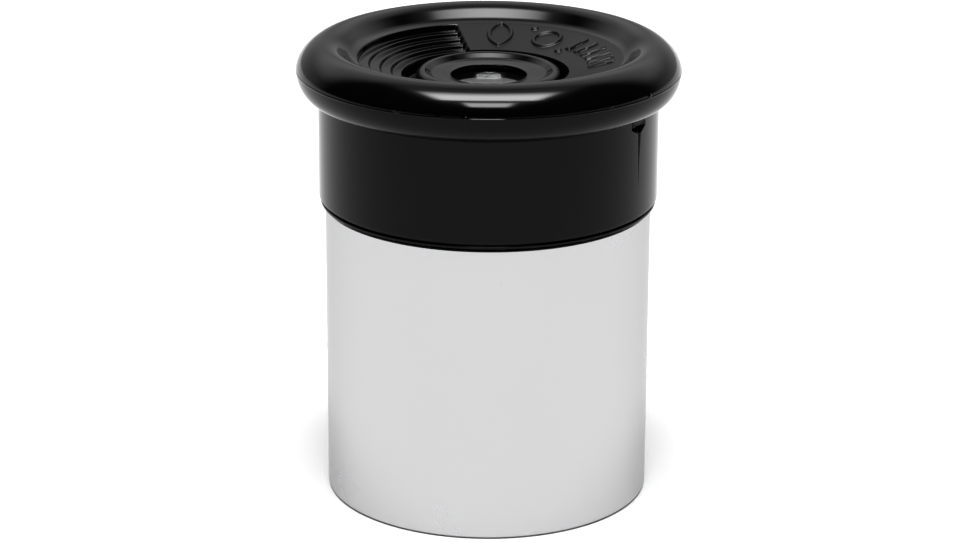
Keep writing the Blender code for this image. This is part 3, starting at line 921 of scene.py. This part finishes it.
def sweep_radiance(maths, back, up):
    """The white sweep: behind the object, brighter higher up, and dark near straight up."""
    added = SWEEP_HIGH_RADIANCE - SWEEP_LOW_RADIANCE
    rise = maths.calculate("MULTIPLY", maths.step(up, SWEEP_RISE), added)
    sweep = maths.calculate("ADD", rise, SWEEP_LOW_RADIANCE)
    return maths.product([sweep, maths.step(back, SWEEP_FRONT_EDGE), maths.step(up, SWEEP_TOP_EDGE)])


def make_world():
    world = bpy.data.worlds.new("studio")
    bpy.context.scene.world = world
    world.use_nodes = True
    tree = world.node_tree
    maths = DirectionMaths(tree)
    place = tree.nodes.new("ShaderNodeTexCoord")
    split = tree.nodes.new("ShaderNodeSeparateXYZ")
    tree.links.new(place.outputs["Generated"], split.inputs["Vector"])
    sideways, back, up = (split.outputs[axis] for axis in "XYZ")
    above = maths.calculate("MAXIMUM", up, LOWEST_UP)
    across = maths.calculate("ABSOLUTE", maths.calculate("DIVIDE", sideways, above))
    along = maths.calculate("MULTIPLY", maths.calculate("DIVIDE", back, above), -1.0)
    total = maths.calculate("ADD", sweep_radiance(maths, back, up), FILL_RADIANCE)
    for along_edges, across_edge, radiance in SOFTBOXES:
        edges = [maths.step(along, edge) for edge in along_edges]
        edges += [maths.step(across, across_edge), maths.step(up, HORIZON_EDGE), radiance]
        total = maths.calculate("ADD", total, maths.product(edges))
    tree.links.new(total, tree.nodes["Background"].inputs["Strength"])
    tree.nodes["Background"].inputs["Color"].default_value = (1.0, 1.0, 1.0, 1.0)


def place_piece(piece, material, body, node):
    """Gives a piece its material, hangs it on its body and hides the CAD node that it replaces."""
    piece.data.materials.clear()
    piece.data.materials.append(material)
    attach(piece, body)
    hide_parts(node)


def make_lenses():
    clear = glass()
    eye = turned("eye_lens_glass", lens_rows(*EYE_LENS_SIZE), segments=192, closed=False)
    field = turned("field_lens_glass", lens_rows(*FIELD_LENS_SIZE), closed=False)
    place_piece(eye, clear, "eye_lens_carrier", "eye_lens")
    place_piece(field, clear, "barrel", "field_lens")


def make_rings():
    black = blackened_metal()
    eye_ring = slotted_ring("eye_lens_retainer", "eye_lens_ring", *EYE_RING_SIZE)
    place_piece(eye_ring, black, "eye_lens_carrier", "eye_lens_ring")
    field_ring = slotted_ring("field_lens_retainer", "field_lens_ring", *FIELD_RING_SIZE)
    place_piece(field_ring, black, "barrel", "field_lens_ring")
    stop = turned("field_stop_disc", field_stop_rows(*heights_of("field_stop")), sharp_degrees=20.0)
    place_piece(stop, black, "barrel", "field_stop")


def make_spacers():
    black = matt_black()
    for node in ("lower_spacer", "upper_spacer"):
        spacer = turned(node + "_tube", spacer_rows(*heights_of(node)), sharp_degrees=20.0)
        place_piece(spacer, black, "barrel", node)


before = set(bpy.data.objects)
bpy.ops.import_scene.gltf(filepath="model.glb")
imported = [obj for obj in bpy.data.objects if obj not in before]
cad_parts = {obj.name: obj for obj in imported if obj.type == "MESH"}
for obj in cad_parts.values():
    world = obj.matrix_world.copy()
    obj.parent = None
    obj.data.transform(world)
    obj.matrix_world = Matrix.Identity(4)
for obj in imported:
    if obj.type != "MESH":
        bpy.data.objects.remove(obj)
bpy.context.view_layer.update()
make_camera()
make_floor()
make_world()
bpy.context.scene.view_settings.view_transform = "Standard"
bpy.context.scene.view_settings.gamma = VIEW_GAMMA
place_piece(make_cap(), black_plastic(), "eye_cap", "eye_cap")
place_piece(make_barrel(), satin_metal(), "barrel", "barrel")
make_lenses()
make_rings()
make_spacers()
